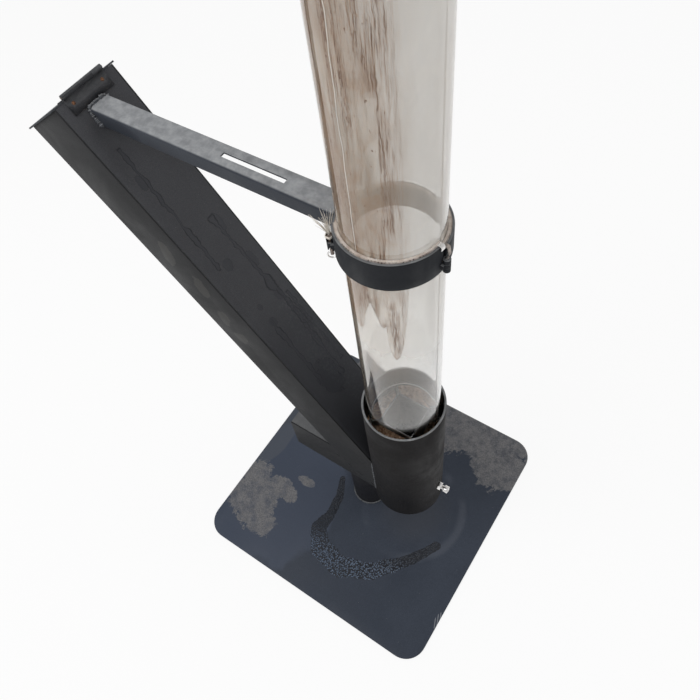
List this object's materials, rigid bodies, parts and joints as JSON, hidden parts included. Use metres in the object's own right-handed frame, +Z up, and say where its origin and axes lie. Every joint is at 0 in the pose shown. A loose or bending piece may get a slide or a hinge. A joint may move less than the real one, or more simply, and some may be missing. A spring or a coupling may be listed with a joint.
{
  "type": "gravity-fed column burner stand with clear tube",
  "caption": "Free-standing stand: square base and post carry a slanted lidded feed chute, a round socket and a tall clear tube held by a slotted arm and an opening collar.",
  "frame": {"origin": "middle of the base plate's underside, on the floor", "axes": "+Z up along the clear tube; +X from the chute towards the clear tube, so the chute leans towards -X; Y across the chute"},
  "size_m": [0.6544, 0.5, 1.307],
  "materials": {
    "dark_coat": "matte heat-resistant coating on steel",
    "bare_steel": "heat-dulled bare steel",
    "rusty_steel": "rusty steel",
    "stainless": "bright stainless steel",
    "granules": "loose mineral granules",
    "clear_wall": "clear, smoke-streaked inside",
    "fibre": "woven heat-proof tape"
  },
  "bodies": {
    "stand": {"base_plate": "dark_coat", "post": "dark_coat", "left_side_plate": "dark_coat", "right_side_plate": "dark_coat", "chute_front_plate": "dark_coat", "chute_back_plate": "dark_coat", "box_top_plate": "dark_coat", "box_floor_plate": "dark_coat", "feed_plate": "bare_steel", "socket": "dark_coat", "clamp_nut": "stainless", "riser_flange": "bare_steel", "riser": "bare_steel", "corner_fins": "bare_steel", "granule_fill": "granules", "support_arm": "dark_coat", "rear_band": "dark_coat", "collar_hinge_pin": "stainless", "rear_packing": "fibre", "chute_hinge_leaf": "dark_coat", "lid_hinge_pin": "bare_steel", "chute_leaf_rivets": "rusty_steel"},
    "lid_body": {"lid": "dark_coat", "lid_hinge_leaf": "dark_coat", "lid_leaf_rivets": "rusty_steel"},
    "front_collar": {"front_band": "dark_coat", "front_packing": "fibre", "latch_pin": "bare_steel"},
    "wire_ring": {"latch_ring": "bare_steel"},
    "tube_body": {"clear_tube": "clear_wall"},
    "screw_body": {"clamp_screw": "stainless"},
    "pot_body": {"fire_pot": "bare_steel", "socket_floor": "dark_coat"}
  },
  "joints": [
    {"name": "lid_hinge", "type": "hinge", "parent": "stand", "child": "lid_body", "pos_m": [-0.3258, 0, 0.88007], "axis": [0, 1, 0], "range_deg": [0, 120]},
    {"name": "collar_hinge", "type": "hinge", "parent": "stand", "child": "front_collar", "pos_m": [0.15675, -0.00432, 0.85], "axis": [0, 0, 1], "range_deg": [0, 100]},
    {"name": "ring_swing", "type": "hinge", "parent": "front_collar", "child": "wire_ring", "pos_m": [0.04429, -0.0355, 0.83], "axis": [-0.8192, -0.5736, 0], "range_deg": [-45, 45]},
    {"name": "tube_lift", "type": "slide", "parent": "stand", "child": "tube_body", "axis": [0, 0, 1], "range_m": [0, 0.06]},
    {"name": "screw_travel", "type": "slide", "parent": "stand", "child": "screw_body", "axis": [1, 0, 0], "range_m": [0, 0.012]},
    {"name": "pot_drop", "type": "slide", "parent": "stand", "child": "pot_body", "axis": [0, 0, -1], "range_m": [0, 0.1]}
  ]
}
